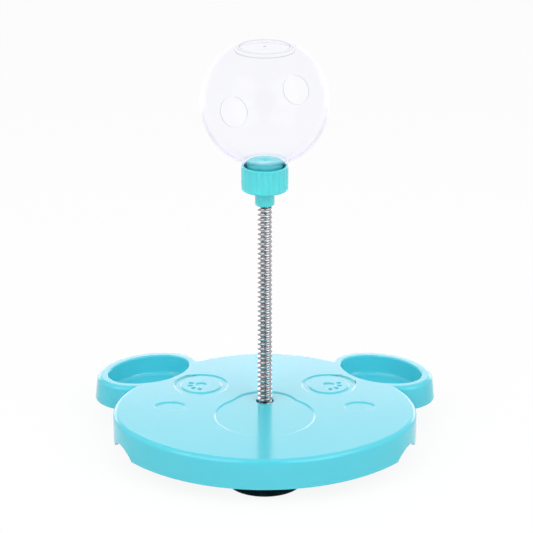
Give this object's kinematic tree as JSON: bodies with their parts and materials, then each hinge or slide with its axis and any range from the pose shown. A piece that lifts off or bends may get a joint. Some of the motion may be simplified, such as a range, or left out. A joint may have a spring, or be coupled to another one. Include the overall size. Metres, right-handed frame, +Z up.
{
  "type": "treat ball",
  "caption": "Clear ball with leak holes on a coil spring, standing on a head-shaped base with ear bowls, paw print eyes and suction cups.",
  "frame": {"origin": "on the floor plane, under the middle of the bounding box; the spring's axis stands 4.9 mm behind it", "axes": "+Z up along the spring; +X to the viewer's right, across the two ears; the animal's chin points to -Y"},
  "size_m": [0.211, 0.1651, 0.2488],
  "materials": {
    "shell_plastic": "gloss",
    "cap_plastic": "satin",
    "clear_plastic": "gloss",
    "spring_steel": "satin",
    "screw_steel": "satin",
    "cup_rubber": "gloss",
    "ring_foam": "matte"
  },
  "bodies": {
    "base": {"base_shell": "shell_plastic", "suction_cup_front": "cup_rubber", "suction_cup_right": "cup_rubber", "suction_cup_left": "cup_rubber", "foot_plug": "screw_steel", "foot_washer": "screw_steel", "foot_screw": "screw_steel"},
    "coil": {"spring": "spring_steel"},
    "head": {"ball_cap": "cap_plastic", "head_plug": "screw_steel", "head_washer": "screw_steel", "head_screw": "screw_steel", "neck_stopper": "cap_plastic"},
    "ring": {"neck_ring": "ring_foam"},
    "ball": {"treat_ball": "clear_plastic"}
  },
  "joints": [
    {"name": "sway_side", "type": "hinge", "parent": "base", "child": "coil", "pos_m": [0, 0.0049, 0.0589], "axis": [0, 1, 0], "range_deg": [-35, 35], "stiffness_Nm_per_rad": 0.12, "deforming": ["spring"]},
    {"name": "sway_fore", "type": "hinge", "parent": "coil", "child": "head", "pos_m": [0, 0.0049, 0.1215], "axis": [1, 0, 0], "range_deg": [-35, 35], "stiffness_Nm_per_rad": 0.12, "deforming": ["spring"]},
    {"name": "ball_turn", "type": "hinge", "parent": "head", "child": "ring", "pos_m": [0, 0.0049, 0.165], "axis": [0, 0, 1], "range_deg": [0, 540]},
    {"name": "ball_lift", "type": "slide", "parent": "ring", "child": "ball", "axis": [0, 0, 1], "range_m": [0, 0.00477]}
  ],
  "couplings": [
    {"joint": "ball_lift", "follows": "ball_turn", "m_per_rad": 0.000506}
  ]
}
